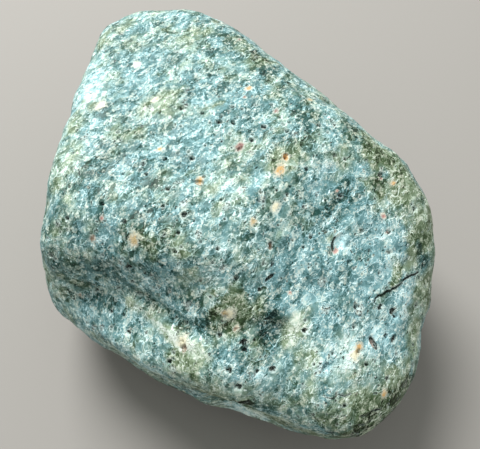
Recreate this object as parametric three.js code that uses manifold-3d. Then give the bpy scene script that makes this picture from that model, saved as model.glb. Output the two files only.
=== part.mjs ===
// A river-worn cobble of green tuff, in millimetres. It is one solid piece: a joint-bounded block
// whose faces have worn almost flat and whose edges have worn round. Its skin has a groove with
// a shelf below it, a hollow, a crack, a chip scar and open gas holes.
//
// The frame: +X runs along the long axis to the blunt, cracked end, +Z is up, and the origin is
// under the middle of the cobble, on the surface that it rests on.

import * as THREE from 'three';
import { mergeVertices } from 'three/addons/utils/BufferGeometryUtils.js';
import { SimplexNoise } from 'three/addons/math/SimplexNoise.js';
import Module from 'manifold-3d';

const wasm = await Module();
wasm.setup();

// ---- Driving dimensions ----------------------------------------------------------------------

// Places on the skin are directions from the centre: an azimuth from +X towards +Y, and an
// elevation above the horizon, both in degrees. A `turn` is an angle on the skin, from level.

const CENTRE = new THREE.Vector3(-1.5, 1.1, 28); // the point that directions are measured from
const WEAR = 16; // how sharply two worn faces meet: higher is sharper
const SKIN_DETAIL = 18; // edge divisions of the starting icosahedron

// The faces of the block, each with the direction that it looks in and its distance.
const FACES = [
  // The crown: a broad plateau, and slopes down to the blunt end and to both sides.
  { azimuth: 190, elevation: 86, distance: 28 },
  { azimuth: 20, elevation: 62, distance: 35 },
  { azimuth: 300, elevation: 50, distance: 41 },
  { azimuth: 105, elevation: 45, distance: 37.5 },
  { azimuth: 175, elevation: 40, distance: 60.5 },
  // The walls, round the outline.
  { azimuth: 17, elevation: 0, distance: 71 },
  { azimuth: 37, elevation: 1, distance: 63 },
  { azimuth: 66, elevation: 2, distance: 51 },
  { azimuth: 104, elevation: 5, distance: 41 },
  { azimuth: 128, elevation: -5, distance: 50 },
  { azimuth: 150, elevation: 15, distance: 57.5 },
  { azimuth: 199, elevation: 15, distance: 65 },
  { azimuth: 222, elevation: 0, distance: 60 },
  { azimuth: 241, elevation: 10, distance: 41 },
  { azimuth: 278, elevation: 0, distance: 50.5 },
  { azimuth: 306, elevation: -10, distance: 46 },
  { azimuth: 322, elevation: -10, distance: 51.5 },
  // The underside.
  { azimuth: 30, elevation: -75, distance: 31 },
  { azimuth: 150, elevation: -72, distance: 31 },
  { azimuth: 265, elevation: -72, distance: 30.5 },
  { azimuth: 20, elevation: -38, distance: 55 },
  { azimuth: 100, elevation: -42, distance: 41 },
  { azimuth: 165, elevation: -35, distance: 53 },
  { azimuth: 215, elevation: -40, distance: 48 },
  { azimuth: 270, elevation: -45, distance: 43 },
];

// Dents in the worn skin, and swellings where the depth is below zero. The width is given on
// the upper side and on the lower side of the line that the length runs along.
const DENTS = [
  // The groove, which deepens to the left into a rounded-off corner, and the hollow at its end.
  { azimuth: 314, elevation: 18, turn: 12, length: 27, upper: 13, lower: 6.5, depth: 7.5 },
  { azimuth: 294, elevation: 11, turn: 0, length: 9, upper: 9, lower: 8, depth: 1.5 },
  { azimuth: 352, elevation: 14, turn: 80, length: 8, upper: 10, lower: 4, depth: 4.5 },
  // The lip of the shelf below the groove.
  { azimuth: 322, elevation: 9, turn: 14, length: 14, upper: 4, lower: 6, depth: -0.8 },
  // The shallow trough up from the hollow, along the end of the plateau.
  { azimuth: 12, elevation: 35, turn: 30, length: 26, upper: 10, lower: 8, depth: 1.3 },
  // The swelling at the blunt end, and the small hollow that the crack runs into.
  { azimuth: 5, elevation: 11, turn: 0, length: 9, upper: 6, lower: 8, depth: -1.5 },
  { azimuth: 37, elevation: 12, turn: 60, length: 5, upper: 4, lower: 4, depth: 1.8 },
  // The flat that runs down from the end of the crack.
  { azimuth: 28, elevation: 3, turn: 90, length: 9, upper: 6, lower: 7, depth: 2.5 },
  // The undercut below the lower edge.
  { azimuth: 342, elevation: -7, turn: 10, length: 7, upper: 8, lower: 12, depth: 4.1 },
  // The broad hollows of the far side and the narrow end.
  { azimuth: 118, elevation: 8, turn: 25, length: 20, upper: 11, lower: 14, depth: 1.8 },
  { azimuth: 190, elevation: -8, turn: -35, length: 15, upper: 9, lower: 10, depth: 1.8 },
  { azimuth: 75, elevation: -25, turn: 15, length: 16, upper: 8, lower: 10, depth: 1.6 },
];

// The slow unevenness of a worn face, and the width of its lumps.
const LUMP_HEIGHT = 0.55;
const LUMP_WIDTH = 13;

// The bites that stand out in the skin. Each is a bowl whose mouth is `length` by `width`, and
// which leans over by `lean` degrees round its length.
const BITES = [
  // The chip scar and the slit under the lower lip.
  { azimuth: 22, elevation: 30, turn: 37, length: 6.5, width: 3.6, depth: 1.3, lean: 20 },
  { azimuth: 341, elevation: 5, turn: 5, length: 8, width: 2.4, depth: 2.5, lean: -25 },
  // Gas holes on the plateau.
  { azimuth: 22, elevation: 77, turn: 40, length: 2.4, width: 2, depth: 0.8 },
  { azimuth: 202, elevation: 66, turn: 0, length: 2.4, width: 2, depth: 0.9 },
  { azimuth: 156, elevation: 83, turn: 70, length: 2.2, width: 1.6, depth: 1 },
  { azimuth: 107, elevation: 81, turn: 20, length: 1.8, width: 1.5, depth: 1 },
  { azimuth: 40, elevation: 60, turn: 60, length: 2, width: 1.5, depth: 1 },
  { azimuth: 320, elevation: 51, turn: 10, length: 2.2, width: 1.8, depth: 1 },
  { azimuth: 321, elevation: 63, turn: 0, length: 3.2, width: 2.4, depth: 0.8 },
  // In the groove and the hollow.
  { azimuth: 305, elevation: 30, turn: 30, length: 2, width: 1.6, depth: 1 },
  { azimuth: 354, elevation: 32, turn: 10, length: 3.4, width: 1.2, depth: 1 },
  { azimuth: 343, elevation: 19, turn: 20, length: 2, width: 1.6, depth: 1.1 },
  { azimuth: 349, elevation: 14, turn: 0, length: 1.9, width: 1.7, depth: 1.1 },
  // Round the crack.
  { azimuth: 21, elevation: 25, turn: 30, length: 1.8, width: 1.5, depth: 1.1 },
  { azimuth: 20, elevation: 15, turn: 20, length: 2, width: 1.6, depth: 1 },
  { azimuth: 22, elevation: 13, turn: 0, length: 2, width: 1.8, depth: 1.1 },
  { azimuth: 18, elevation: 10, turn: 10, length: 2.6, width: 1.9, depth: 1.2 },
  { azimuth: 13, elevation: 12, turn: 75, length: 4, width: 1.7, depth: 1.1 },
  { azimuth: 0, elevation: 14, turn: 50, length: 2.6, width: 1.7, depth: 1.1 },
];

// The other gas holes, scattered at random. More of them have opened at the blunt end.
const HOLES = { count: 44, width: [1.3, 2.4], depthShare: 0.55, lowest: -0.6, fewerAtNarrowEnd: 0.7 };
const SEED = 11;

// The crack: where its middle is, the size of its mouth, and the points of its line from there,
// along and across the skin.
const CRACK = { azimuth: 26, elevation: 16, width: 0.8, depth: 4 };
const CRACK_LINE = [
  [-5.2, 1.2], [-3.7, 1.2], [-3.1, 0.5], [-1.4, 0], [-0.4, -0.8],
  [2.7, -2.1], [4.5, -2.5], [6.2, -3.2], [8, -4.4],
];

// ---- The worn block --------------------------------------------------------------------------

const { degToRad: radians, radToDeg: degrees, lerp, seededRandom } = THREE.MathUtils;

function direction({ azimuth, elevation }) {
  const level = Math.cos(radians(elevation));
  return new THREE.Vector3(
    level * Math.cos(radians(azimuth)),
    level * Math.sin(radians(azimuth)),
    Math.sin(radians(elevation)),
  );
}

const faces = FACES.map((face) => ({ ...face, normal: direction(face) }));

// The distance from the centre to the worn block's surface along a unit vector.
function blockRadius(unit) {
  let sum = 0;
  for (const { normal, distance } of faces) {
    sum += Math.max(0, unit.dot(normal) / distance) ** WEAR;
  }
  return sum ** (-1 / WEAR);
}

// ---- Dents and lumps -------------------------------------------------------------------------

// The directions along and across a mark on the skin whose outward direction is `out`.
function markAxes(out, turn = 0) {
  const level = new THREE.Vector3(-out.y, out.x, 0).normalize();
  const rise = new THREE.Vector3().crossVectors(out, level);
  const [cos, sin] = [Math.cos(radians(turn)), Math.sin(radians(turn))];
  return {
    along: level.clone().multiplyScalar(cos).addScaledVector(rise, sin),
    across: rise.clone().multiplyScalar(cos).addScaledVector(level, -sin),
  };
}

const dents = DENTS.map((dent) => {
  const out = direction(dent);
  return { ...dent, out, ...markAxes(out, dent.turn), reach: blockRadius(out) };
});

// How far a dent lowers the skin along a unit vector.
function dentDepth(unit, dent) {
  const facing = unit.dot(dent.out);
  if (facing <= 0) return 0;
  const along = (unit.dot(dent.along) / facing) * dent.reach;
  const across = (unit.dot(dent.across) / facing) * dent.reach;
  const width = across > 0 ? dent.upper : dent.lower;
  return dent.depth * Math.exp(-((along / dent.length) ** 4) - (across / width) ** 2);
}

let draws = 0;
function random() {
  draws += 1;
  return seededRandom(SEED + draws);
}

const noise = new SimplexNoise({ random });

function lumpHeight(point) {
  const { x, y, z } = point.clone().divideScalar(LUMP_WIDTH);
  return LUMP_HEIGHT * (noise.noise3d(x, y, z) + noise.noise3d(2 * x, 2 * y, 2 * z) / 2);
}

// The point of the skin along a unit vector, measured from the centre.
function skinPoint(unit) {
  const radius = dents.reduce((left, dent) => left - dentDepth(unit, dent), blockRadius(unit));
  const point = unit.clone().multiplyScalar(radius);
  return point.addScaledVector(unit, lumpHeight(point));
}

function skin() {
  const geometry = new THREE.IcosahedronGeometry(1, SKIN_DETAIL - 1);
  const position = geometry.getAttribute('position');
  const unit = new THREE.Vector3();
  for (let i = 0; i < position.count; i += 1) {
    const { x, y, z } = skinPoint(unit.fromBufferAttribute(position, i).normalize()).add(CENTRE);
    position.setXYZ(i, x, y, z);
  }
  return geometry;
}

// ---- Solids to join and cut ------------------------------------------------------------------

function solidOf(geometry) {
  geometry.deleteAttribute('normal');
  geometry.deleteAttribute('uv');
  const merged = mergeVertices(geometry, 1e-3);
  return new wasm.Manifold(new wasm.Mesh({
    numProp: 3,
    vertProperties: new Float32Array(merged.getAttribute('position').array),
    triVerts: new Uint32Array(merged.getIndex().array),
  }));
}

function geometryOf(solid) {
  const { vertProperties, triVerts } = solid.getMesh();
  const geometry = new THREE.BufferGeometry();
  geometry.setAttribute('position', new THREE.BufferAttribute(vertProperties, 3));
  geometry.setIndex(new THREE.BufferAttribute(triVerts, 1));
  return geometry;
}

// The place of a mark on the skin: X along it, Y across it and Z straight out of the stone.
function markPlace(mark) {
  const unit = direction(mark);
  const { along: level, across: rise } = markAxes(unit);
  const point = skinPoint(unit);
  const step = 0.03;
  const east = skinPoint(unit.clone().addScaledVector(level, step).normalize()).sub(point);
  const north = skinPoint(unit.clone().addScaledVector(rise, step).normalize()).sub(point);
  const out = new THREE.Vector3().crossVectors(east, north).normalize();
  const { along, across } = markAxes(out, mark.turn);
  return new THREE.Matrix4().makeBasis(along, across, out).setPosition(point.add(CENTRE));
}

function bowl(mark, detail) {
  const geometry = new THREE.IcosahedronGeometry(1, detail);
  geometry.scale(mark.length / 2, mark.width / 2, mark.depth);
  geometry.rotateX(radians(mark.lean ?? 0));
  return solidOf(geometry.applyMatrix4(markPlace(mark)));
}

function scatteredHole() {
  const azimuth = 360 * random();
  const elevation = degrees(Math.asin(lerp(HOLES.lowest, 1, random())));
  const towardsNarrowEnd = (1 - direction({ azimuth, elevation }).x) / 2;
  if (random() < HOLES.fewerAtNarrowEnd * towardsNarrowEnd) return scatteredHole();
  const width = lerp(...HOLES.width, random() ** 2);
  const length = width * lerp(1, 1.4, random());
  return { azimuth, elevation, turn: 180 * random(), length, width, depth: width * HOLES.depthShare };
}

function crack() {
  const last = CRACK_LINE.length - 1;
  const opening = (i) => (CRACK.width / 2) * Math.sin(Math.PI * (i + 0.3) / (last + 0.6));
  const edge = (side) => CRACK_LINE.map(([x, y], i) => new THREE.Vector2(x, y + side * opening(i)));
  const mouth = new THREE.Shape([...edge(-1), ...edge(1).reverse()]);
  const wedge = new THREE.ExtrudeGeometry(mouth, { depth: 2 * CRACK.depth, bevelEnabled: false });
  wedge.translate(0, 0, -CRACK.depth);
  return solidOf(wedge.applyMatrix4(markPlace(CRACK)));
}

function ground() {
  const [size, depth] = [200, 40];
  return solidOf(new THREE.BoxGeometry(size, size, depth).translate(0, 0, -depth / 2));
}

function stoneGeometry() {
  const bites = BITES.map((mark) => bowl(mark, 1));
  const holes = Array.from({ length: HOLES.count }, () => bowl(scatteredHole(), 0));
  const cutters = [...bites, ...holes, crack(), ground()];
  return geometryOf(cutters.reduce((left, cutter) => left.subtract(cutter), solidOf(skin())));
}

// ---- The part --------------------------------------------------------------------------------

const tuff = new THREE.MeshStandardMaterial({ color: '#7d9a92', roughness: 0.7 });
const stone = new THREE.Mesh(stoneGeometry(), tuff);
stone.name = 'stone';
const part = new THREE.Group();
part.add(stone);

export default part;
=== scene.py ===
"""A worn tuff cobble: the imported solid's form, refined to a fine skin with pits, lip, cracks and grain."""
import math

import bpy
import numpy as np
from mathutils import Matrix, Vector, kdtree, noise
from mathutils.bvhtree import BVHTree


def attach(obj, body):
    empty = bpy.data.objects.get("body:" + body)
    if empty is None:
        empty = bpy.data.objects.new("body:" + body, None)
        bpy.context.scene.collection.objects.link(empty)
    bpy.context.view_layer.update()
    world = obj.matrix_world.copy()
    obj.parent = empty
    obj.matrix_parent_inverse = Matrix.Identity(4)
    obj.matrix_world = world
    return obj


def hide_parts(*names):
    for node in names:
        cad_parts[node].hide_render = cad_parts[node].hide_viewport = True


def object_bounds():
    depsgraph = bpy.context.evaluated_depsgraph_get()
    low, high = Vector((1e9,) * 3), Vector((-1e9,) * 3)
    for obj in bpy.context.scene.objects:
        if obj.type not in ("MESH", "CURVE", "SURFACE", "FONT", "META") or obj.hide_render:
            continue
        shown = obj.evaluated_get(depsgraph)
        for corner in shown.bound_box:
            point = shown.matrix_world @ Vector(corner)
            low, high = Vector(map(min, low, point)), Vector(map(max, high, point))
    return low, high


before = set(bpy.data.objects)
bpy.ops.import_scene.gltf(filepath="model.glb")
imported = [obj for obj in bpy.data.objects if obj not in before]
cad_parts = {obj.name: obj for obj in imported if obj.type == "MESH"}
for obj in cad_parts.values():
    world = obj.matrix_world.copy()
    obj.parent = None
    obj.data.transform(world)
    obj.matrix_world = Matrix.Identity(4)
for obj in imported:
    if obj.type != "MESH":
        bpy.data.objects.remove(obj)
cad_low, cad_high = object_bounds()

# Lengths are millimetres until a mesh, light or camera is made in metres, and angles are degrees. A place
# on the stone is given as the azimuth and elevation of its direction from the centre.
MM = 0.001
CENTRE = np.array([-1.5, 1.1, 28.0])
SEED = 11

# The skin: the solid's corners lie on an icosahedron split this often, and each triangle is split again.
GRID = 18
EXTRA_SPLITS = 3
TRIANGLE_LIMIT = 196000
ON_SKIN = 0.05  # a corner of the solid this near one of the icosahedron's, or the floor, isn't in a cut
HEALING_ROUNDS = 30  # how often the skin over a cut is drawn level with the whole skin round it
LOOP_SHARE = 0.75  # a split mesh that is smoothed by this share follows Loop subdivision
COUNTER_SHARE = -0.5  # smoothed back by this share first, the smooth surface keeps the corners' height
CUT_START = (0.5, 0.75)  # a cut counts from the first depth under the skin, and in full from the second
FINE_ROUNDS = [(0.22, 1.0), (0.12, 0.7)]  # sides over this length are halved, this near a pit or a cut
RIM_REACH = 1.5  # a point this far outside every pit and cut counts as plain

# Relief added to the skin: the size of its lumps across the bedding, and its height.
BEDDING_AZIMUTH = 124  # the minerals are drawn out along this level direction
BEDDING_STRETCH = 0.7
SWELLS = (6.0, 0.16)
GRAIN = (2.0, 0.16)
FRACTAL = (0.8, 2.1, 3)  # how fast the finer lumps get lower, their step in size, and how many sizes

# The crest of the groove's lower lip, and its height. The lip falls steeply to the trench above it, and
# gently to the shelf below it; all three have a width.
LIP = [
    (304, 16.5), (308, 17.8), (312, 18.2), (316, 18), (320, 17.6), (324, 17.3), (328.5, 17.7), (333, 17.5),
    (337, 17.6),
]
LIP_HEIGHT = 1.1
LIP_WIDTHS = {"steep": 0.6, "gentle": 2.2, "trench": 1.5}
LIP_TAPER = 0.5
TRENCH_DEPTH = 0.7

# Cracks: the line of each, the width of its mouth, its depth, how far its upper side stands over its lower
# side, and how far to each side the solid's own cut gives way to it.
CRACKS = [
    # The main crack in the blunt end.
    {
        "line": [
            (19.4, 16.1), (20.4, 16.5), (21.7, 16.6), (22.2, 16.2), (24.3, 16), (25.2, 15.5), (26.1, 15.5),
            (26.7, 15.1), (29.4, 14.5), (30.1, 14.6), (33.3, 13.4), (34.1, 12.8), (35.8, 12.1),
        ],
        "width": 0.5, "depth": 1.8, "step": 0.45, "cleared": 1.3,
    },
    # The steep edge of the chip.
    {
        "line": [(19.8, 28.4), (20.4, 29.3), (22.2, 30.7), (24, 31.4)],
        "width": 0.8, "depth": 1.1, "step": 0.0, "cleared": 0.0,
    },
    # The slit under the groove's lower lip.
    {
        "line": [(336.8, 6), (338.4, 6.3), (339.6, 6.7), (340.8, 7.3), (341.9, 8), (343.1, 8.8)],
        "width": 1.0, "depth": 1.8, "step": 0.4, "cleared": 0.0,
    },
    # Fine cracks by the rim of the blunt end.
    {
        "line": [(357.6, 10.6), (359, 10.3), (0.3, 10.5), (1.4, 9.9), (3, 9.6)],
        "width": 0.25, "depth": 0.5, "step": 0.2, "cleared": 0.0,
    },
    {
        "line": [(2.6, 6.5), (4.2, 5.8), (5.6, 5.7), (7.6, 4.8)],
        "width": 0.45, "depth": 0.8, "step": 0.3, "cleared": 0.0,
    },
    {
        "line": [(0.4, 5.6), (2, 5.3), (3.4, 4.7), (5.4, 4.4)],
        "width": 0.4, "depth": 0.7, "step": 0.2, "cleared": 0.0,
    },
]
CRACK_TAPER = 0.4
CRACK_LEAST_MOUTH = 0.3  # of its width, at its ends
CRACK_STEP_REACH = 1.5
CRACK_MARKS = 8  # how many parts each piece of a crack's line is cut into, to find the skin near it

# Small pits besides those of the solid: azimuth, elevation, width.
PITS = [
    (42, 60, 1.1), (304, 29, 1.0), (293, 12, 1.1), (301, 10, 0.9), (55, 42, 0.9), (288, 73, 0.8),
    (230, 72, 0.8), (273, 57, 0.8), (186, 74, 0.9), (112, 81, 1.0), (358, 39, 1.1), (32, 28, 1.1),
    (16, 35, 0.9), (38, 23, 1.0), (9, 13, 1.0), (328, 16, 1.0), (3, 15, 0.9), (17, 11, 1.0),
    (29, 9, 1.1), (339, 15, 1.3), (341, 12, 1.4), (343, 18, 1.3), (22, 12, 1.2),
]
SCATTERED_PITS = 420
SCATTERED_WIDTH = (0.5, 1.2)
SMALL_PITS = 2.5  # the higher this power, the more of the scattered pits are small
PIT_CLUSTER = 11  # the size of the clusters that scattered pits gather in
PIT_FAR_SHARE = 0.15  # how thickly the far end is pitted, where the blunt end has 1
PIT_END_RUN = 25  # half of the length over which that changes
PIT_DEPTH = 0.7  # of its width
PIT_MOUTH = 1.15  # of its radius
PIT_WAVER = (1.3, 0.6)  # waves to a radius in a pit's outline, and their height as a share of it
PIT_MARGIN = 1.2  # how far outside a pit the distance to its rim is known

# Cuts of the solid that are too wide to be painted dark inside as shade: azimuth, elevation, radius, share
# of depth kept.
OPEN_CUTS = [
    (22, 30, 6.0, 0.5), (341, 5, 7.0, 1.0), (22, 77, 1.6, 1.0), (0, 13.9, 2.2, 0.5),
]

# Paler, darker and greener zones: azimuth, elevation, how far its length is turned from level, half its
# length, half its width, how much paler, how much greener. The paleness is partly the stone's own tone
# and partly painted light and shade: painted shade in the groove, its hollow, the slit, a trough and the
# rims turned from the lamp, and painted light on the chip's floor and the facet under the slit.
TONE_AND_SHADE_ZONES = [
    # the groove and its two ends, darker partly for the stone's tone and partly as painted shade in the
    # groove
    (285, 20, 15, 9, 5, -0.3, -0.2),
    (292, 10, 15, 8, 4, -0.5, 0.1),
    (307, 27, 20, 14, 5, -0.3, -0.3),
    (341, 24, 25, 6, 4, -0.9, 1.3),
    # painted shade in the hollow at the groove's end
    (349.8, 18.8, 60, 5.5, 3.2, -1.5, -0.3),
    (330, 22.5, 20, 9, 4, -0.5, -0.2),
    (348, 29, 0, 4, 3, -0.7, 0.0),
    (346, 17.5, 30, 4, 3, -0.6, 0.5),
    (345, 20, 30, 5, 3, -0.5, 0.2),
    # the slit under the lip, painted dark as its shade, and the facet below it, with painted light where the
    # floor shades it
    (340.6, 6.9, 25, 4.5, 0.9, -3.0, 0.3),
    (342.5, -18, 20, 6, 4, 2.2, 0.2),
    # the shelf and the swellings of the blunt end
    (321, 15.5, 12, 13, 2.5, 0.2, 0.1),
    (326.5, 16.9, 5, 6, 2.2, 1.2, 1.2),
    (328, 13.5, 0, 4, 3, -0.1, 1.2),
    (355.8, 19.2, 60, 4.6, 2.8, 0.95, 1.4),
    (5, 13.6, 0, 7, 6, 0.9, 0.0),
    (35, 23, 0, 6, 5, 0.8, -0.3),
    (25, 29, 0, 5, 4, 0.5, -0.4),
    (21, 16, 0, 9, 6, 0.3, -0.8),
    (9, 21, 0, 6, 5, 0.5, -0.5),
    (1, 24, 0, 5, 4, 0.2, -0.3),
    (357, 14.6, 0, 3.5, 3, 0.3, 0.8),
    (354, 10, 0, 5, 4, 0.1, 0.6),
    (0, 8, 0, 13, 4, -0.1, 1.0),
    (13, 6, 0, 10, 3, -0.1, 0.6),
    # darker as painted shade along the rim turned from the lamp, and greener
    (46, 16, -10, 12, 4, -0.3, 1.2),
    (34, 8, -20, 12, 5, 0.1, 0.9),
    (315, 6, 5, 8, 2.5, 0.5, 0.0),
    # painted shadow in the hollow at the crack's end
    (39.3, 14, 60, 3.6, 1.8, -1.0, -1.2),
    (29.3, 16.3, 12, 4, 1.3, -0.3, 1.8),
    (32, 12.3, 20, 3.2, 1.8, 0.6, -0.8),
    (20, 12, 0, 8, 5, 0.4, -0.5),
    # painted light on the chip's floor
    (24, 29.6, 35, 3, 1.6, 0.9, -0.4),
    (26, 19, 0, 5, 4, 0.0, -0.8),
    (13, 11, 0, 5, 4, 0.8, -1.0),
    (6, 9, 0, 5, 3, 0.6, 0.0),
    (24, 12, 0, 4, 3, 0.9, 0.0),
    (22, 6.5, 0, 6, 3, 0.0, 0.7),
    (2, 23, 0, 5, 3, 0.0, 0.9),
    (25, 25, 0, 4, 3, 0.0, -0.6),
    (341, 13, 0, 6, 4, 0.6, 0.0),
    (318, 7, 0, 5, 4, 0.6, 0.0),
    # painted shade along the lower rim of the blunt end, and greener
    (9, 3.5, -5, 13, 4.5, -1.2, 1.6),
    # the plateau
    (5, 31, 20, 9, 5, 0.1, -2.1),
    (35, 37, 0, 8, 6, 0.0, -0.5),
    (60, 26, 0, 9, 5, -0.2, 0.9),
    (67, 36, 20, 10, 4, -0.8, 0.4),
    (46, 45, 0, 5, 4, 0.4, 0.2),
    (40, 59, 0, 6, 4, 0.1, 1.2),
    (303, 39, 0, 6, 5, -0.6, 0.6),
    (269, 67, 0, 11, 7, 0.0, -0.7),
    (205, 58, 0, 6, 5, 0.2, 0.6),
    (165, 61, 0, 10, 6, 0.0, -0.7),
    (196, 36, 0, 9, 6, 0.0, -0.7),
    (213, 37, 0, 8, 5, 0.7, 0.0),
    (122, 65, 0, 7, 5, 0.0, -1.0),
    (78, 55, 0, 9, 5, -0.8, 0.2),
    (312, 46, 0, 7, 5, -0.6, -0.3),
    (299, 77, 0, 5, 4, 0.0, -0.9),
    (215, 32, 0, 10, 5, 0.6, 0.0),
    (15, 25, 0, 5, 4, 0.1, -0.9),
    (64, 34, 0, 6, 4, 0.0, 1.4),
    (54, 29, 0, 7, 5, -0.5, 1.6),
    (40, 22, 0, 5, 4, 0.0, 0.5),
    (72, 57, 0, 6, 5, 0.0, -0.9),
    (77, 46, 0, 6, 4, 0.0, -0.7),
    (262, 48, 0, 7, 5, -0.7, -0.8),
    (254, 37, 0, 8, 5, 0.3, 0.6),
    (272, 43, 0, 6, 4, 0.0, -0.6),
    (184, 51, 0, 6, 4, 0.0, -0.7),
    (165, 29, 0, 6, 4, 0.0, -0.8),
    (149, 37, 0, 7, 4, -1.0, 0.8),
    (126, 47, 0, 8, 4, -0.9, 0.0),
    (43, 63, 0, 5, 4, -1.0, -0.6),
    (312, 36, 0, 5, 4, 0.0, -0.5),
    (339, 28, 0, 6, 4, 0.0, 0.9),
    (192, 26, 0, 8, 4, 0.0, 0.9),
    (282, 46, 0, 5, 4, -0.2, 0.7),
    (283, 53, 0, 5, 4, -0.4, 0.0),
    (234, 39, 0, 7, 4, 0.5, 1.2),
    (276, 30, 0, 8, 5, -0.3, -0.4),
    (330, 33, 0, 6, 4, 0.0, 0.6),
    (57, 41, 0, 6, 4, 0.0, 0.9),
    (51, 20, 0, 6, 4, 0.0, 0.8),
    (262, 44, 0, 5, 4, -0.6, 0.0),
    (168, 61, 0, 5, 4, -0.6, 0.0),
    (14, 63, 0, 5, 4, 0.0, 0.6),
    (278, 41, 0, 5, 4, 0.0, -0.6),
    (72, 75, 0, 5, 4, 0.0, -0.6),
    # streaks along the bedding
    (359, 60.4, -42, 7, 1.8, 1.0, -0.3),
    (3.8, 12.8, 5, 6.5, 1.8, 0.9, 0.3),
    # a dark streak of painted shade in a shallow trough
    (37.3, 38.3, 31, 6.5, 1.5, -0.9, -0.6),
    (1.3, 41.3, -7, 7, 1.2, 0.7, 0.2),
    (335, 45, -42, 6, 2, 0.8, 0.3),
    (322.4, 22, 15, 7, 2.5, 0.7, 0.0),
    (338, 19.6, 15, 4, 2, 0.9, 0.3),
    (320, 43, -42, 6, 3, 0.0, 0.7),
    # the sides and the underside, which are turned away
    (120, 5, 10, 16, 9, 0.3, 0.8),
    (155, -5, 0, 14, 8, -0.4, -0.8),
    (80, -10, 20, 15, 8, 0.3, -0.7),
    (185, 5, 0, 10, 8, 0.3, 0.5),
    (230, -5, 10, 14, 8, -0.3, -0.6),
    (262, 5, 0, 12, 7, 0.4, 0.6),
    (40, -60, 30, 16, 10, 0.3, 0.8),
    (250, -60, 0, 15, 9, -0.3, -0.8),
]
ZONE_REACH = (1.25, 0.65)  # a zone ends at this many half lengths, and fades out over the last of them
ZONE_FADE = 1.5  # the power that the fading follows
ZONE_DEPTH = 8  # a zone's half length in the direction that its surface faces
ZONE_PATCH = 4  # the radius of the skin that shows which way that is
ZONE_WAVER = (4.0, 0.4)  # the size and height of the waves in a zone's outline

# Bands of colour and painted light along the lip: how far above its crest, width, how much paler, how much
# greener. The pale band on the crest is partly the lip's colour and partly a painted highlight, the dark
# band above it is painted shade in the trench, and the green band is colour.
LIP_BANDS = [(-0.6, 0.8, 1.2, 0.0), (2.2, 1.9, -1.0, 0.0), (-0.8, 1.4, 0.0, 1.4)]

# What faces down is painted darker, as shade, and is greener in its colour, fully so where this times its
# slope reaches 1.
UNDERSIDE_SLOPE = 3
UNDERSIDE_PAINTED_SHADE = -0.8
UNDERSIDE_OLIVE = 1.3

# Mineral stains and crystals, by colour: azimuth, elevation, radius.
STAINS = {
    "rust": [(29, 78, 1.6)],
    "orange": [
        (40.5, 59.2, 1.5), (28, 59.3, 1.5), (321, 63.5, 1.2), (9, 6.5, 1.1), (9.3, 13.2, 1.1),
    ],
    "ochre": [(305, 39, 1.8), (338, 25.6, 0.9), (8.2, 13, 1.2)],
    "brown": [(289, 32, 1.1), (328, 15, 1.2), (358, 39, 0.9)],
    "pink": [(42, 26, 0.9), (38, 23, 0.8), (20.5, 28.1, 0.9), (12.6, 11.4, 0.9)],
    "cream": [
        (339.5, 24.6, 1.6), (9, 50, 1.3), (226, 41, 1.6), (196, 38, 1.4), (209, 55, 1.3), (327, 17, 1.8),
        (7, 12.8, 1.5),
    ],
}
SCATTERED_STAINS = 46
SCATTERED_RADIUS = (0.5, 1.1)
STAIN_STRENGTH = 1.5  # in the middle of a stain, falling to 0 at its radius

# The camera looks steeply down at the blunt end and the -Y flank. Its azimuth goes from -Y toward +X.
CAMERA_AZIMUTH = 66
CAMERA_ELEVATION = 56
CAMERA_DISTANCE = 156
CAMERA_TARGET = (5.1, 3.4, 27.0)
CAMERA_LENS = 45
CAMERA_SENSOR = 36

# The studio, in metres and watts: a soft lamp over the end away from the blunt one, even light from all
# round, and a floor.
LAMP_AZIMUTH = 188
LAMP_ELEVATION = 56
LAMP_DISTANCE = 0.9
LAMP_SIZE = 0.5
LAMP_POWER = 11.5
ROOM_COLOUR = (0.975, 1.0, 0.98, 1.0)
ROOM_STRENGTH = 0.54
FLOOR_HALF = 2.0


def tone(red, green, blue):
    """A colour given as it looks on a screen, 0 to 255, in the linear values that shaders take."""
    def linear(v):
        v /= 255
        return v / 12.92 if v <= 0.04045 else ((v + 0.055) / 1.055) ** 2.4
    return linear(red), linear(green), linear(blue), 1.0


# The stone's colour from its darkest grains to its palest, where it is bluest and where it is most olive.
TEAL = [
    tone(0, 32, 28), tone(40, 81, 74), tone(87, 129, 131), tone(124, 168, 172), tone(172, 213, 217),
    tone(224, 252, 252),
]
OLIVE = [
    tone(22, 34, 12), tone(62, 84, 52), tone(116, 135, 106), tone(152, 173, 146), tone(194, 214, 196),
    tone(236, 250, 238),
]
STAIN_TONES = {
    "rust": tone(118, 56, 52),
    "orange": tone(212, 164, 92),
    "ochre": tone(186, 162, 112),
    "brown": tone(120, 92, 66),
    "pink": tone(184, 132, 124),
    "cream": tone(240, 234, 200),
}
MARK_TONES = {
    "hole's edge": tone(206, 232, 222),
    # dark partly for the holes' own colour and partly as painted shade in them
    "hole": tone(14, 34, 26),
    "white grain": tone(236, 250, 246),
    "open spot": tone(214, 228, 222),
    "black crumb": tone(12, 26, 22),
    "pit's edge": tone(220, 240, 234),
    "stain's ring": tone(232, 242, 230),
    "stain's meal": tone(246, 240, 222),
}
# The inside of pits, cracks and cuts, by the crumb pattern: dark partly for the stone's own colour and
# partly as painted shade, with pale crumbs.
PIT_TONES = [(0.5, tone(10, 18, 16)), (0.58, tone(46, 64, 58)), (0.68, tone(170, 186, 180))]
FLOOR_TONE = tone(150, 147, 142)

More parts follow.
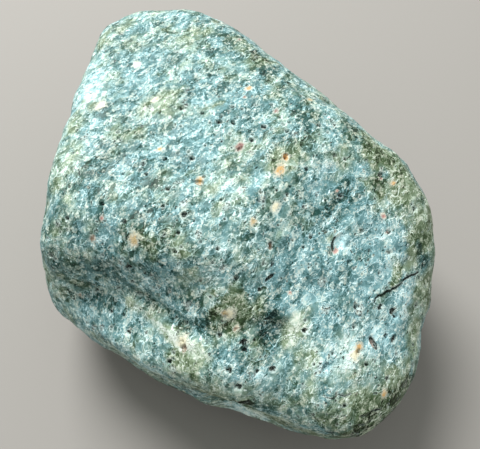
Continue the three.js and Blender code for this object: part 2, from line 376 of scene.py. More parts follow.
# The sizes of the material's patterns.
MOTTLE = 7.0
SMALL_MOTTLE = 2.2
HUE = 11.0
SMALL_HUE = 4.0
PATCH = 2.6  # where the grain is strong
BIG_FLAKE = 2.1
SMALL_FLAKE = 0.95
LACE_PATCH = 2.9  # where flakes have a pale edge
GRAIN_SIZE = 0.62
DUST = 0.32
CRUMB = 0.5
RIM_PATCH = 2.5  # where pits have a pale edge
FLAKE_WAVES, SMALL_WAVES, FIBRE_WAVES = (1.3, 1.6), (0.6, 1.0), (2.5, 1.6)  # size, and how far they move
HOLE_SPACING, HOLE_RADIUS, HOLE_EDGE = 0.85, 0.28, 0.5
HOLE_CLUSTER = 6.0
HOLE_END_RUN = 45  # half of the length over which fine holes crowd toward the blunt end
WHITE_SPACING, WHITE_RADIUS = 0.8, 0.26
SPOT_SPACING, SPOT_RADIUS = 3.4, 1.1
SPECK_EDGE = (-0.04, 0.1)  # a speck's soft edge, in spacings
WISPS = [(3.6, 0.014, 0.5), (2.0, 0.019, 0.46), (1.1, 0.03, 0.36)]  # size, width, how much paler
WISP_GAPS = 1.4  # the size of the gaps in a wisp, in wisp sizes
WISP_STRETCH = 0.55
# Dashes along the bedding: the pale ones are partly grains and partly painted glints, the dark ones painted
# shade beside raised grains.
FIBRES = [(0.75, 0.19, 0.22, 0.65), (0.62, 0.17, 0.2, -0.6)]  # spacing, radius, share, how much paler
FIBRE_STRETCH = 0.24
BUMP_DEPTH = 0.3
ROUGHNESS = (0.42, 0.6)
SPECULAR = 0.2


def unit(azimuth, elevation):
    """The direction at that azimuth and elevation."""
    a, e = math.radians(azimuth), math.radians(elevation)
    return np.array([math.cos(a) * math.cos(e), math.sin(a) * math.cos(e), math.sin(e)])


def directions_of(points):
    """The direction of each point from the centre."""
    away = points - CENTRE
    return away / np.linalg.norm(away, axis=1)[:, None]


def on_skin(points, directions, azimuth, elevation):
    """The point of the skin in that direction."""
    out = unit(azimuth, elevation)
    nearest = points[np.argmax(directions @ out)]
    return CENTRE + out * np.linalg.norm(nearest - CENTRE)


def across_line(points, directions, line):
    """How far each point is above a line on the skin (under 0: below), and how far along it, 0 to 1."""
    corners = [on_skin(points, directions, *place) for place in line]
    nearest = np.full(len(points), np.inf)
    above = np.ones(len(points))
    place = np.zeros(len(points))
    for k, (start, end) in enumerate(zip(corners, corners[1:])):
        run = end - start
        share = np.clip((points - start) @ run / (run @ run), 0, 1)
        gap = points - start - share[:, None] * run
        distance = np.linalg.norm(gap, axis=1)
        closer = distance < nearest
        nearest[closer] = distance[closer]
        above[closer] = np.sign(gap[closer, 2])
        place[closer] = (k + share[closer]) / (len(corners) - 1)
    return nearest * above, place


def tapered(place, power):
    """1 at the middle of a line, and 0 at its ends. A lower power keeps it near 1 for longer."""
    return np.sin(math.pi * place) ** power


def bell(distance, width):
    """1 at no distance, falling smoothly to 0 over about twice the width."""
    return np.exp(-((distance / width) ** 2))


def point_tree(points):
    """A search tree for the nearest of some points."""
    tree = kdtree.KDTree(len(points))
    for i, p in enumerate(points):
        tree.insert(p, i)
    tree.balance()
    return tree


def distances(tree, points):
    """How far each point is from the nearest one in the tree."""
    return np.array([tree.find(p)[2] for p in points])


def icosahedron():
    """The 20 faces of an icosahedron, each as three corners that turn outward."""
    golden = (1 + math.sqrt(5)) / 2
    longest_edge = 2.01  # its edges are 2 long
    corners = [
        np.roll([s, g * golden, 0.0], turn) for turn in range(3) for s in (-1, 1) for g in (-1, 1)
    ]
    faces = []
    for i, a in enumerate(corners):
        for j, b in enumerate(corners[:i]):
            for c in corners[:j]:
                if max(np.linalg.norm(p - q) for p, q in ((a, b), (b, c), (c, a))) < longest_edge:
                    outward = np.dot(np.cross(b - a, c - a), a) > 0
                    faces.append((a, b, c) if outward else (a, c, b))
    return faces


def grid_sphere(splits):
    """Unit directions, and the triangles between them, of an icosahedron whose edges are split."""
    directions, numbers, triangles = [], {}, []

    def number(point):
        key = tuple(np.round(point, 5) + 0.0)  # adding 0 makes -0 the same key as 0
        if key not in numbers:
            numbers[key] = len(directions)
            directions.append(point / np.linalg.norm(point))
        return numbers[key]

    for a, b, c in icosahedron():
        rows = [
            [number((a * (splits - i - j) + b * i + c * j) / splits) for j in range(splits - i + 1)]
            for i in range(splits + 1)
        ]
        for i in range(splits):
            for j in range(splits - i):
                triangles.append((rows[i][j], rows[i + 1][j], rows[i][j + 1]))
                if j < splits - i - 1:
                    triangles.append((rows[i + 1][j], rows[i + 1][j + 1], rows[i][j + 1]))
    return np.array(directions), np.array(triangles)


def edge_ends(triangles):
    """Each edge once, as its two ends, and which edges each triangle has."""
    ends = np.sort(triangles[:, [[0, 1], [1, 2], [2, 0]]].reshape(-1, 2), axis=1)
    count = triangles.max() + 1
    keys, edge = np.unique(ends[:, 0] * count + ends[:, 1], return_inverse=True)
    return np.stack([keys // count, keys % count], axis=1), edge.reshape(-1, 3)


def relax(values, ends, share):
    """Moves each value that share of the way to the mean of its neighbours."""
    count = len(values)
    both = np.concatenate([ends, ends[:, ::-1]])
    neighbours = np.bincount(both[:, 0], minlength=count)
    total = np.stack(
        [np.bincount(both[:, 0], column[both[:, 1]], count) for column in values.T], axis=1
    )
    return values + share * (total / neighbours[:, None] - values)


def split(points, triangles):
    """Loop subdivision: each triangle becomes four, and the points settle on a smooth surface."""
    ends, edge = edge_ends(triangles)
    middle = len(points) + edge
    a, b, c = triangles.T
    ab, bc, ca = middle.T
    finer = [(a, ab, ca), (ab, b, bc), (ca, bc, c), (ab, bc, ca)]
    triangles = np.concatenate([np.stack(corner, axis=1) for corner in finer])
    points = np.concatenate([points, points[ends].mean(axis=1)])
    return relax(points, edge_ends(triangles)[0], LOOP_SHARE), triangles


def refine(points, triangles, wanted, longest):
    """Halves the sides over that length that touch a wanted point, and splits the triangles to match."""
    ends, edge = edge_ends(triangles)
    length = np.linalg.norm(points[ends[:, 0]] - points[ends[:, 1]], axis=1)
    halved = wanted[ends].any(axis=1) & (length > longest)
    number = np.where(halved, len(points) + np.cumsum(halved) - 1, -1)
    points = np.concatenate([points, points[ends[halved]].mean(axis=1)])
    middle = number[edge]
    count = (middle >= 0).sum(axis=1)
    # Turned so that a lone halved side comes first, and a lone whole side last.
    turn = np.where(count == 1, np.argmax(middle >= 0, axis=1), (np.argmin(middle >= 0, axis=1) + 1) % 3)
    order = (np.arange(3) + turn[:, None]) % 3
    a, b, c = np.take_along_axis(triangles, order, axis=1).T
    ab, bc, ca = np.take_along_axis(middle, order, axis=1).T
    patterns = {
        0: [(a, b, c)],
        1: [(a, ab, c), (ab, b, c)],
        2: [(ab, b, bc), (a, ab, bc), (a, bc, c)],
        3: [(a, ab, ca), (ab, b, bc), (ca, bc, c), (ab, bc, ca)],
    }
    parts = [
        np.stack(corner, axis=1)[count == halves]
        for halves, corners in patterns.items() for corner in corners
    ]
    return points, np.concatenate(parts)


def solid_surface():
    """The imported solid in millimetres: a tree for rays, and its corners."""
    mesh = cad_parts["stone"].data
    corners = np.array([v.co for v in mesh.vertices]) / MM
    tree = BVHTree.FromPolygons([tuple(c) for c in corners], [tuple(p.vertices) for p in mesh.polygons])
    return tree, corners


def solid_reach(tree, directions):
    """How far the solid's surface is from the centre, in each direction."""
    centre = Vector(CENTRE)
    far = float(np.linalg.norm(cad_high - cad_low)) / MM
    found = [tree.ray_cast(centre + Vector(d) * far, -Vector(d)) for d in directions]
    return far - np.array([hit[3] for hit in found])


def smooth_skin(tree, corners):
    """The solid's skin without its pits and flat faces, as points and triangles, and where it was cut."""
    directions, triangles = grid_sphere(GRID)
    points = CENTRE + directions * solid_reach(tree, directions)[:, None]
    off_corner = distances(point_tree(corners), points)
    off_grid = distances(point_tree(points), corners)
    cut_corners = corners[(off_grid > ON_SKIN) & (corners[:, 2] > ON_SKIN)]
    cut = (off_corner > ON_SKIN) & (points[:, 2] > ON_SKIN)
    ends, _ = edge_ends(triangles)
    for _ in range(HEALING_ROUNDS):
        points[cut] = relax(points, ends, 1.0)[cut]
    points = relax(points, ends, COUNTER_SHARE)
    for _ in range(EXTRA_SPLITS):
        points, triangles = split(points, triangles)
    return points, triangles, cut_corners


def depth_of_solid(tree, points):
    """How far the solid's surface lies under each point of the skin."""
    away = np.linalg.norm(points - CENTRE, axis=1)
    return away - solid_reach(tree, (points - CENTRE) / away[:, None])


def vertex_normals(points, triangles):
    """The direction that the surface faces at each point."""
    a, b, c = (points[triangles[:, k]] for k in range(3))
    face = np.cross(b - a, c - a)
    total = np.stack(
        [
            sum(np.bincount(triangles[:, k], face[:, axis], len(points)) for k in range(3))
            for axis in range(3)
        ],
        axis=1,
    )
    return total / np.linalg.norm(total, axis=1)[:, None]


def bedded(points):
    """The points in the bedding's own axes, shortened along it, so that noise there is drawn out."""
    a = math.radians(BEDDING_AZIMUTH)
    along = points[:, 0] * math.cos(a) + points[:, 1] * math.sin(a)
    across = points[:, 1] * math.cos(a) - points[:, 0] * math.sin(a)
    return np.stack([along * BEDDING_STRETCH, across, points[:, 2]], axis=1)


def rough(points, size, height):
    """Fractal noise, about that high both ways, whose largest lumps are that size."""
    return height * np.array([noise.fractal(Vector(p), *FRACTAL) for p in bedded(points) / size])


def pit_places(points, directions, rng):
    """Every small pit besides the solid's own, as its middle point and its width."""
    places = [(points[np.argmax(directions @ unit(a, e))], width) for a, e, width in PITS]
    low, high = SCATTERED_WIDTH
    while len(places) < len(PITS) + SCATTERED_PITS:
        middle = points[int(rng.integers(len(points)))]
        blunt = 0.5 + 0.5 * math.tanh(middle[0] / PIT_END_RUN)
        cluster = 0.5 + noise.noise(Vector(middle / PIT_CLUSTER))
        if rng.random() < (PIT_FAR_SHARE + (1 - PIT_FAR_SHARE) * blunt) * cluster:
            places.append((middle, low + (high - low) * rng.random() ** SMALL_PITS))
    return places


def pit_sink(points, places, tree, rim):
    """How deep each point sinks in the pits. Where a pit's rim is nearer, its distance goes into rim."""
    waves, waver = PIT_WAVER
    sink = np.zeros(len(points))
    for middle, width in places:
        radius = width / 2
        near = tree.find_range(middle, radius + PIT_MARGIN)
        index = np.array([n[1] for n in near])
        uneven = np.array([noise.noise(Vector(points[i] * waves / radius)) for i in index])
        distance = np.array([n[2] for n in near]) + waver * radius * uneven
        rim[index] = np.minimum(rim[index], distance - radius)
        bowl = np.clip(1 - (np.maximum(distance, 0) / (radius * PIT_MOUTH)) ** 3, 0, 1)
        sink[index] = np.maximum(sink[index], bowl * width * PIT_DEPTH)
    return sink


def lip_height(points, directions):
    """The lip's crest, with the trench above it."""
    across, place = across_line(points, directions, LIP)
    crest = LIP_HEIGHT * bell(across, np.where(across > 0, LIP_WIDTHS["steep"], LIP_WIDTHS["gentle"]))
    trench_middle = LIP_WIDTHS["steep"] + LIP_WIDTHS["trench"]
    trench = TRENCH_DEPTH * bell(across - trench_middle, LIP_WIDTHS["trench"])
    return tapered(place, LIP_TAPER) * (crest - trench)


def crack_height(crack, across, place):
    """A crack's groove, and the step between its two sides."""
    taper = tapered(place, CRACK_TAPER)
    mouth = crack["width"] * np.maximum(taper, CRACK_LEAST_MOUTH)
    groove = np.clip(1 - (2 * across / mouth) ** 2, 0, 1) ** 0.5
    step = 0.5 * crack["step"] * np.sign(across) * np.exp(-np.abs(across) / CRACK_STEP_REACH)
    return taper * (step - crack["depth"] * groove)


def crack_rim(crack, across, place):
    """How far outside a crack each point is, counted double, so that a narrow crack is painted dark too, as
    the shade inside it.
    """
    beside = (place > 0) & (place < 1)  # beyond the line's ends, nothing is dark
    return np.where(beside, 2 * np.abs(across) - crack["width"], RIM_REACH)


def crack_marks(points, directions):
    """Points along every crack."""
    marks = []
    for crack in CRACKS:
        corners = [on_skin(points, directions, *place) for place in crack["line"]]
        for start, end in zip(corners, corners[1:]):
            marks += [start + (end - start) * k / CRACK_MARKS for k in range(CRACK_MARKS + 1)]
    return marks


def solid_cuts(tree, points, directions, crack_places):
    """How deep each point sinks in the solid's cuts, and how far outside the nearest cut it is."""
    depth = depth_of_solid(tree, points)
    for crack, (across, _) in zip(CRACKS, crack_places):
        depth[np.abs(across) < crack["cleared"]] = 0
    low, high = CUT_START
    depth *= np.clip((depth - low) / (high - low), 0, 1)
    cut = depth > low  # inside a cut, how far under its start a point is stands for how far from its rim
    outside = distances(point_tree(points[cut]), points)
    rim = np.where(cut, low - depth, np.minimum(outside, RIM_REACH))
    for azimuth, elevation, radius, kept in OPEN_CUTS:
        middle = on_skin(points, directions, azimuth, elevation)
        inside = np.linalg.norm(points - middle, axis=1) < radius
        rim[inside] = RIM_REACH
        depth[inside] *= kept
    return depth, rim


def stone_points():
    """The finished skin: points, triangles, and each point's distance outside the nearest pit's rim."""
    rng = np.random.default_rng(SEED)
    tree, corners = solid_surface()
    points, triangles, cut_corners = smooth_skin(tree, corners)
    directions = directions_of(points)
    places = pit_places(points, directions, rng)
    marks = crack_marks(points, directions)
    fine_tree = point_tree(np.concatenate([cut_corners, marks, [middle for middle, _ in places]]))
    for longest, near in FINE_ROUNDS:
        points, triangles = refine(points, triangles, distances(fine_tree, points) < near, longest)
    directions = directions_of(points)
    normals = vertex_normals(points, triangles)
    crack_places = [across_line(points, directions, crack["line"]) for crack in CRACKS]
    depth, rim = solid_cuts(tree, points, directions, crack_places)
    relief = rough(points, *SWELLS) + rough(points, *GRAIN) + lip_height(points, directions)
    for crack, (across, place) in zip(CRACKS, crack_places):
        rim = np.minimum(rim, crack_rim(crack, across, place))
        relief += crack_height(crack, across, place)
    relief -= pit_sink(points, places, point_tree(points), rim)
    points = points + normals * relief[:, None] - directions * depth[:, None]
    points[:, 2] = np.maximum(points[:, 2], 0)
    return points, triangles, rim


def mesh_object(name, points, triangles):
    """An object of those triangles, in metres."""
    mesh = bpy.data.meshes.new(name)
    mesh.from_pydata((points * MM).tolist(), [], triangles.tolist())
    thing = bpy.data.objects.new(name, mesh)
    bpy.context.scene.collection.objects.link(thing)
    return thing


def thin_out(thing):
    """Merges triangles where the surface is plain, until the mesh is at the limit."""
    cut = thing.modifiers.new("thin", "DECIMATE")
    cut.ratio = TRIANGLE_LIMIT / len(thing.data.polygons)
    evaluated = thing.evaluated_get(bpy.context.evaluated_depsgraph_get())
    mesh = bpy.data.meshes.new_from_object(evaluated)
    thing.modifiers.clear()
    thing.data = mesh
    mesh.shade_smooth()


def keep_attribute(mesh, name, values):
    """Stores a number at each of the mesh's points, for its material."""
    mesh.attributes.new(name, "FLOAT", "POINT").data.foreach_set("value", values.astype(np.float32))


def zone_share(points, directions, normals, waver, zone):
    """How much each point is in a zone, from 1 in its middle to 0 outside it."""
    azimuth, elevation, turn, length, width = zone
    apart = points - points[np.argmax(directions @ unit(azimuth, elevation))]
    straight = normals[np.linalg.norm(apart, axis=1) < ZONE_PATCH].mean(axis=0)
    straight /= np.linalg.norm(straight)
    level = np.cross([0, 0, 1], straight)
    level /= np.linalg.norm(level)
    rise = np.cross(straight, level)
    a = math.radians(turn)
    along = apart @ (level * math.cos(a) + rise * math.sin(a)) / length
    across = apart @ (rise * math.cos(a) - level * math.sin(a)) / width
    through = apart @ straight / ZONE_DEPTH
    end, fade = ZONE_REACH
    inside = end - np.sqrt(along**2 + across**2 + through**2) - waver
    return np.clip(inside / fade, 0, 1) ** ZONE_FADE


def zone_values(points, directions, normals):
    """How much paler (or darker, below 0) and how much greener the stone is at each point; the paleness
    holds painted light and shade besides the stone's own tone.
    """
    light = np.zeros(len(points))
    olive = np.zeros(len(points))
    waver = rough(points, *ZONE_WAVER)
    for *zone, paler, greener in TONE_AND_SHADE_ZONES:
        share = zone_share(points, directions, normals, waver, zone)
        light += paler * share
        olive += greener * share
    # The lip's bands: a painted highlight on its crest and painted shade in the trench above it, with
    # colour.
    across, place = across_line(points, directions, LIP)
    for above, width, paler, greener in LIP_BANDS:
        share = tapered(place, LIP_TAPER) * bell(across - above, width)
        light += paler * share
        olive += greener * share
    # What faces down: painted shade, and greener.
    under = np.clip(-UNDERSIDE_SLOPE * normals[:, 2], 0, 1)
    return light + UNDERSIDE_PAINTED_SHADE * under, olive + UNDERSIDE_OLIVE * under


def stain_places(rng):
    """Every stain: azimuth, elevation, radius and colour."""
    places = [(*place, name) for name, group in STAINS.items() for place in group]
    names = sorted(STAIN_TONES)
    low, high = SCATTERED_RADIUS
    for _ in range(SCATTERED_STAINS):
        x, y, z = rng.normal(size=3)
        azimuth = math.degrees(math.atan2(y, x))
        elevation = math.degrees(math.atan2(z, math.hypot(x, y)))
        radius = low + (high - low) * rng.random() ** 2  # most are small
        places.append((azimuth, elevation, radius, names[rng.integers(len(names))]))
    return places


def stain_values(points, directions, rng):
    """How strongly each point is stained, and the stain's colour."""
    strength = np.zeros(len(points))
    colour = np.tile(STAIN_TONES["cream"], (len(points), 1))
    drawn = bedded(points)
    for azimuth, elevation, radius, name in stain_places(rng):
        middle = drawn[np.argmax(directions @ unit(azimuth, elevation))]
        share = STAIN_STRENGTH * (1 - np.linalg.norm(drawn - middle, axis=1) / radius)
        over = share > strength
        strength[over] = share[over]
        colour[over] = STAIN_TONES[name]
    return strength, colour


def make_stone():
    """The skin as one mesh, with what its material needs to know at each point."""
    points, triangles, rim = stone_points()
    stone = mesh_object("stone_skin", points, triangles)
    thin_out(stone)
    mesh = stone.data
    kept = np.array([v.co for v in mesh.vertices]) / MM
    normals = np.array([v.normal for v in mesh.vertices])
    directions = directions_of(kept)
    tree = point_tree(points)
    nearest = [tree.find(p)[1] for p in kept]  # thinning moves points, and leaves their numbers behind
    # The rim lets the material paint pits, cracks and cuts dark inside: partly their colour, partly painted
    # shade.
    keep_attribute(mesh, "rim", rim[nearest])
    light, olive = zone_values(kept, directions, normals)
    keep_attribute(mesh, "light", light)
    keep_attribute(mesh, "olive", olive)
    strength, colour = stain_values(kept, directions, np.random.default_rng(SEED + 1))
    keep_attribute(mesh, "stain", strength)
    layer = mesh.attributes.new("stain_colour", "FLOAT_COLOR", "POINT")
    layer.data.foreach_set("color", colour.astype(np.float32).ravel())
    return stone


class Shader:
    """Adds nodes to a material. An input that is a socket is linked, and anything else is set."""

    def __init__(self, name):
        self.material = bpy.data.materials.new(name)
        self.material.use_nodes = True
        self.tree = self.material.node_tree
        self.tree.nodes.clear()

    def add(self, kind, inputs, **settings):
        node = self.tree.nodes.new(kind)
        for key, value in settings.items():
            setattr(node, key, value)
        for key, value in inputs.items():
            if isinstance(value, bpy.types.NodeSocket):
                self.tree.links.new(value, node.inputs[key])
            else:
                node.inputs[key].default_value = value
        return node

    def finish(self, inputs):
        """Ends the material in a surface with those inputs."""
        surface = self.add("ShaderNodeBsdfPrincipled", inputs).outputs[0]
        self.add("ShaderNodeOutputMaterial", {"Surface": surface})
        return self.material

    def math(self, operation, a, b, c=0.0):
        return self.add("ShaderNodeMath", {0: a, 1: b, 2: c}, operation=operation).outputs[0]

    def times(self, a, b):
        return self.math("MULTIPLY", a, b)

    def centred(self, value):
        """A value from 0 to 1 taken to one from -0.5 to 0.5."""
        return self.math("SUBTRACT", value, 0.5)

    def span(self, value, low, high):
        """A value from 0 to 1 taken evenly to one from low to high."""
        return self.math("MULTIPLY_ADD", value, high - low, low)

    def step(self, value, low, high, bottom=0.0, top=1.0):
        """A value taken from bottom to top, smoothly, as it goes from low to high."""
        inputs = {"Value": value, "From Min": low, "From Max": high, "To Min": bottom, "To Max": top}
        return self.add("ShaderNodeMapRange", inputs, interpolation_type="SMOOTHSTEP").outputs[0]

    def summed(self, total, parts):
        """The total with a share of each pattern added: pairs of pattern and share."""
        for pattern, share in parts:
            total = self.math("MULTIPLY_ADD", pattern, share, total)
        return total

    def ridge(self, value, width):
        """1 where the value crosses the middle of its range, falling to 0 on both sides."""
        return self.step(self.math("ABSOLUTE", self.centred(value), 0.0), width, 0.0)

    def noise(self, where, size, detail=2.0, roughness=0.5, distortion=0.0):
        inputs = {
            "Vector": where, "Scale": 1 / size, "Detail": detail, "Roughness": roughness,
            "Distortion": distortion,
        }
        return self.add("ShaderNodeTexNoise", inputs).outputs["Fac"]

    def stretched(self, where, share):
        """The place shortened along the bedding, so that what is drawn there is longer."""
        return self.add("ShaderNodeMapping", {"Vector": where, "Scale": (share, 1, 1)}).outputs[0]

    def warped(self, where, size, amount):
        """The place moved about at random, so that what is drawn there has wavering edges."""
        noise_inputs = {"Vector": where, "Scale": 1 / size, "Detail": 2.0}
        wander = self.add("ShaderNodeTexNoise", noise_inputs).outputs["Color"]
        middle = {0: wander, 1: (0.5, 0.5, 0.5)}
        wander = self.add("ShaderNodeVectorMath", middle, operation="SUBTRACT").outputs[0]
        moved = {0: wander, 1: (amount, amount, amount), 2: where}
        return self.add("ShaderNodeVectorMath", moved, operation="MULTIPLY_ADD").outputs[0]

    def flakes(self, where, size):
        """Flakes that fill the surface: two random numbers for each, and how far its edge is."""
        inputs = {"Vector": where, "Scale": 1 / size}
        cell = self.add("ShaderNodeTexVoronoi", inputs)
        edge = self.add("ShaderNodeTexVoronoi", inputs, feature="DISTANCE_TO_EDGE")
        chance = self.add("ShaderNodeSeparateColor", {"Color": cell.outputs["Color"]}).outputs
        return chance[0], chance[1], edge.outputs["Distance"]

    def specks(self, where, size, share, radius):
        """Dots at random places, as many as the share says and up to that radius: 1 inside, 0 outside."""
        cell = self.add("ShaderNodeTexVoronoi", {"Vector": where, "Scale": 1 / size})
        chance = self.add("ShaderNodeSeparateColor", {"Color": cell.outputs["Color"]}).outputs
        present = self.math("LESS_THAN", chance[0], share)
        reach = self.times(self.span(chance[1], 0.5, 1.0), radius / size)
        inside = self.math("SUBTRACT", reach, cell.outputs["Distance"])
        return self.times(self.step(inside, *SPECK_EDGE), present)

    def attribute(self, name, output="Fac"):
        return self.add("ShaderNodeAttribute", {}, attribute_name=name).outputs[output]

    def ramp(self, value, stops):
        node = self.add("ShaderNodeValToRGB", {"Fac": value})
        elements = node.color_ramp.elements
        while len(elements) < len(stops):
            elements.new(0.5)
        for element, (position, colour) in zip(elements, stops):
            element.position = position
            element.color = colour
        return node.outputs["Color"]

    def tones(self, value, colours):
        """The colours spread evenly over values from 0 to 1."""
        last = len(colours) - 1
        return self.ramp(value, [(i / last, colour) for i, colour in enumerate(colours)])

    def mix(self, share, a, b):
        return self.add("ShaderNodeMix", {0: share, 6: a, 7: b}, data_type="RGBA").outputs[2]


class Tuff(Shader):
    """The stone's material: first the patterns that its layers share, then a method for each layer."""

    def __init__(self):
        super().__init__("green_tuff")
        place = self.add("ShaderNodeTexCoord", {}).outputs["Object"]
        turn = (0, 0, -math.radians(BEDDING_AZIMUTH))
        mapping = {"Vector": place, "Rotation": turn, "Scale": (1 / MM,) * 3}
        # The place in millimetres in the bedding's axes, then drawn out along it, then with wavering edges.
        self.plain = self.add("ShaderNodeMapping", mapping).outputs[0]
        self.bedding = self.stretched(self.plain, BEDDING_STRETCH)
        self.wavering = self.warped(self.bedding, *FLAKE_WAVES)
        # The zones' paleness, which includes painted light and shade; pale marks are dimmed where it is
        # dark.
        self.light = self.attribute("light")
        self.dimmed = self.step(self.light, -1.0, 0.3, 0.4, 1.0)  # lower where pale marks are faint
        self.patchy = self.step(self.noise(self.bedding, PATCH, 3, 0.6), 0.42, 0.62)
        self.share_flakes_and_grains()
        self.share_marks(place)

    def share_flakes_and_grains(self):
        """Flakes with a random tone each, the pale lace along some of their edges, and finer grains."""
        self.big_tone, self.big_hue, big_edge = self.flakes(self.wavering, BIG_FLAKE)
        self.small_tone, _, _ = self.flakes(self.warped(self.bedding, *SMALL_WAVES), SMALL_FLAKE)
        laced = self.step(self.noise(self.bedding, LACE_PATCH), 0.46, 0.56)
        self.lace = self.times(self.step(big_edge, 0.07, 0.0), laced)
        grain = self.centred(self.noise(self.bedding, GRAIN_SIZE, 2, 0.7, 0.4))
        self.fine = self.summed(grain, [(self.centred(self.noise(self.plain, DUST, 1)), 0.6)])
        self.crumb = self.noise(self.plain, CRUMB, 2, 0.6)

    def share_marks(self, place):
        """Fine holes, which crowd toward the blunt end, white grains, and open spots with black crumbs."""
        along_stone = self.add("ShaderNodeSeparateXYZ", {"Vector": place}).outputs[0]
        blunt = self.step(along_stone, -HOLE_END_RUN * MM, HOLE_END_RUN * MM)
        clusters = self.step(self.noise(self.plain, HOLE_CLUSTER), 0.35, 0.7)
        self.crowd = self.times(self.times(self.span(blunt, 0.4, 1.0), clusters), 0.4)
        self.hole = self.specks(self.wavering, HOLE_SPACING, self.crowd, HOLE_RADIUS)
        whites = self.span(self.patchy, 0.03, 0.14)
        self.white = self.specks(self.plain, WHITE_SPACING, whites, WHITE_RADIUS)
        spots = self.span(self.crowd, 0.2, 0.7)
        self.spot = self.specks(self.wavering, SPOT_SPACING, spots, SPOT_RADIUS)
        self.black = self.times(self.spot, self.step(self.crumb, 0.47, 0.4))

    def paleness(self):
        """How pale the stone is, 0 to 1: mottles, flakes and grains with the zones' painted light and shade,
        then wisps and fibres, whose dashes hold painted glints and painted shade too.
        """
        pale = self.summed(0.435, [
            (self.centred(self.noise(self.bedding, MOTTLE)), 0.4),
            (self.centred(self.noise(self.bedding, SMALL_MOTTLE, 2, 0.6, 0.6)), 0.5),
            (self.light, 0.22),
            (self.centred(self.big_tone), 0.23),
            (self.centred(self.small_tone), 0.26),
            (self.fine, self.span(self.patchy, 0.15, 0.85)),
            (self.lace, 0.32),
        ])
        drawn = self.stretched(self.plain, WISP_STRETCH)
        for size, width, paler in WISPS:
            wisp = self.ridge(self.noise(drawn, size, 2, 0.6, 0.5), width)
            present = self.step(self.noise(self.bedding, WISP_GAPS * size), 0.5, 0.58)
            pale = self.summed(pale, [(self.times(wisp, present), paler)])
        drawn = self.stretched(self.warped(self.plain, *FIBRE_WAVES), FIBRE_STRETCH)
        for size, radius, share, paler in FIBRES:
            pale = self.summed(pale, [(self.specks(drawn, size, share, radius), paler)])
        return pale

    def hued(self, pale):
        """The paleness as a colour, whose hue drifts between teal and olive."""
        drift = self.summed(0.35, [
            (self.centred(self.noise(self.bedding, HUE)), 1.5),
            (self.centred(self.noise(self.bedding, SMALL_HUE, 2, 0.6)), 1.3),
            (self.centred(self.big_hue), 0.25),
            (self.attribute("olive"), 0.45),
        ])
        return self.mix(self.step(drift, 0.05, 0.95), self.tones(pale, TEAL), self.tones(pale, OLIVE))

    def marked(self, colour, pattern, strength, name):
        """The colour with a mark's tone laid over it where the pattern is."""
        return self.mix(self.times(pattern, strength), colour, MARK_TONES[name])

    def with_grains(self, colour):
        """Fine holes with a pale edge, dark partly for their own colour and partly as painted shade in them,
        and white grains.
        """
        edge = self.specks(self.wavering, HOLE_SPACING, self.crowd, HOLE_EDGE)
        colour = self.marked(colour, edge, 0.35, "hole's edge")
        colour = self.marked(colour, self.hole, 0.8, "hole")
        return self.marked(colour, self.white, 0.75, "white grain")

    def with_open_spots(self, colour):
        """A pale ground with black crumbs of crystal."""
        ground = self.times(self.spot, self.dimmed)
        colour = self.marked(colour, ground, self.span(self.crumb, 0.1, 0.7), "open spot")
        return self.marked(colour, self.black, 0.9, "black crumb")

    def with_pits(self, colour):
        """Pale round the edge of some pits, and dark inside pits, cracks and cuts with crumbs too: partly
        their own colour, partly painted shade.
        """
        rim = self.attribute("rim")
        some = self.step(self.noise(self.bedding, RIM_PATCH), 0.4, 0.54)
        edge = self.times(self.times(self.step(rim, 0.45, 0.1), some), self.dimmed)
        colour = self.marked(colour, edge, self.span(self.crumb, 0.2, 0.9), "pit's edge")
        crumbly_rim = self.summed(rim, [(self.centred(self.crumb), 1.2)])
        inside = self.step(crumbly_rim, -0.03, -0.28, 0.0, 0.92)
        return self.mix(inside, colour, self.ramp(self.crumb, PIT_TONES))

    def with_stains(self, colour):
        """Stains with ragged edges, in a pale ring, and mealier away from their middle."""
        stain = self.attribute("stain")
        stain_colour = self.attribute("stain_colour", "Color")
        ragged = self.summed(stain, [(self.fine, 1.3), (self.centred(self.small_tone), 0.5)])
        ring = self.mix(0.35, MARK_TONES["stain's ring"], stain_colour)
        colour = self.mix(self.times(self.step(ragged, 0.0, 0.5), 0.55), colour, ring)
        mealy = self.step(stain, 1.0, 0.6, 0.15, 0.7)
        uneven = self.marked(stain_colour, self.step(self.crumb, 0.42, 0.6), mealy, "stain's meal")
        return self.mix(self.times(self.step(ragged, 0.45, 0.95), 0.85), colour, uneven)

    def fine_relief(self):
        """Grains and flakes that stand proud, and holes and crumbs that are sunk."""
        height = self.summed(0.0, [
            (self.fine, self.span(self.patchy, 0.1, 0.9)),
            (self.white, 0.2),
            (self.big_tone, 0.5),
            (self.small_tone, 0.28),
            (self.hole, -1.0),
            (self.black, -0.8),
            (self.lace, 0.25),
        ])
        inputs = {"Height": height, "Strength": 1.0, "Distance": BUMP_DEPTH * MM}
        return self.add("ShaderNodeBump", inputs).outputs[0]

    def stone_material(self):
        colour = self.hued(self.paleness())
        for layer in (self.with_grains, self.with_open_spots, self.with_pits, self.with_stains):
            colour = layer(colour)
        return self.finish({
            "Base Color": colour, "Roughness": self.span(self.patchy, *ROUGHNESS),
            "Normal": self.fine_relief(), "Specular IOR Level": SPECULAR,
        })


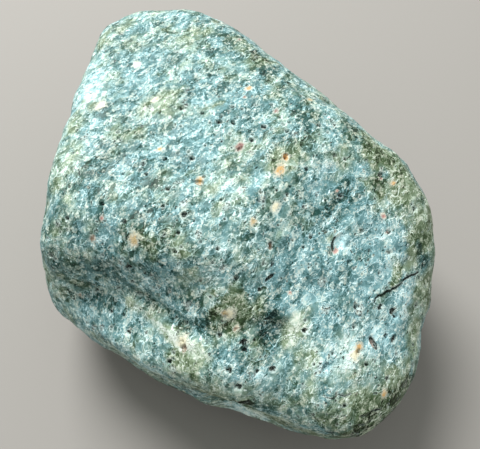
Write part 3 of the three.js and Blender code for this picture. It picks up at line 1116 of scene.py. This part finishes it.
def make_camera():
    azimuth, elevation = math.radians(CAMERA_AZIMUTH), math.radians(CAMERA_ELEVATION)
    back = Vector(
        (math.sin(azimuth) * math.cos(elevation), -math.cos(azimuth) * math.cos(elevation),
         math.sin(elevation))
    )
    camera = bpy.data.objects.new("camera", bpy.data.cameras.new("camera"))
    camera.data.lens = CAMERA_LENS
    camera.data.sensor_width = CAMERA_SENSOR
    camera.data.clip_start = 0.01
    camera.location = (Vector(CAMERA_TARGET) + back * CAMERA_DISTANCE) * MM
    camera.rotation_mode = "QUATERNION"
    camera.rotation_quaternion = (-back).to_track_quat("-Z", "Y")
    bpy.context.scene.collection.objects.link(camera)
    bpy.context.scene.camera = camera


def make_lamp():
    lamp = bpy.data.lights.new("key", "AREA")
    lamp.shape = "DISK"
    lamp.size = LAMP_SIZE
    lamp.energy = LAMP_POWER
    light = bpy.data.objects.new("key", lamp)
    towards = Vector(unit(LAMP_AZIMUTH, LAMP_ELEVATION))
    light.location = towards * LAMP_DISTANCE
    light.rotation_mode = "QUATERNION"
    light.rotation_quaternion = towards.to_track_quat("Z", "Y")
    bpy.context.scene.collection.objects.link(light)


def make_room():
    world = bpy.data.worlds.new("studio")
    world.use_nodes = True
    background = world.node_tree.nodes["Background"]
    background.inputs["Color"].default_value = ROOM_COLOUR
    background.inputs["Strength"].default_value = ROOM_STRENGTH
    bpy.context.scene.world = world
    bpy.context.scene.view_settings.view_transform = "Standard"


def make_floor():
    half = FLOOR_HALF
    mesh = bpy.data.meshes.new("floor")
    corners = [(-half, -half, 0), (half, -half, 0), (half, half, 0), (-half, half, 0)]
    mesh.from_pydata(corners, [], [(0, 1, 2, 3)])
    mesh.materials.append(Shader("floor").finish({"Base Color": FLOOR_TONE, "Roughness": 0.9}))
    floor = bpy.data.objects.new("floor", mesh)
    bpy.context.scene.collection.objects.link(floor)


make_camera()
make_lamp()
make_room()
make_floor()
stone = make_stone()
stone.data.materials.append(Tuff().stone_material())
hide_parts("stone")
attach(stone, "root")
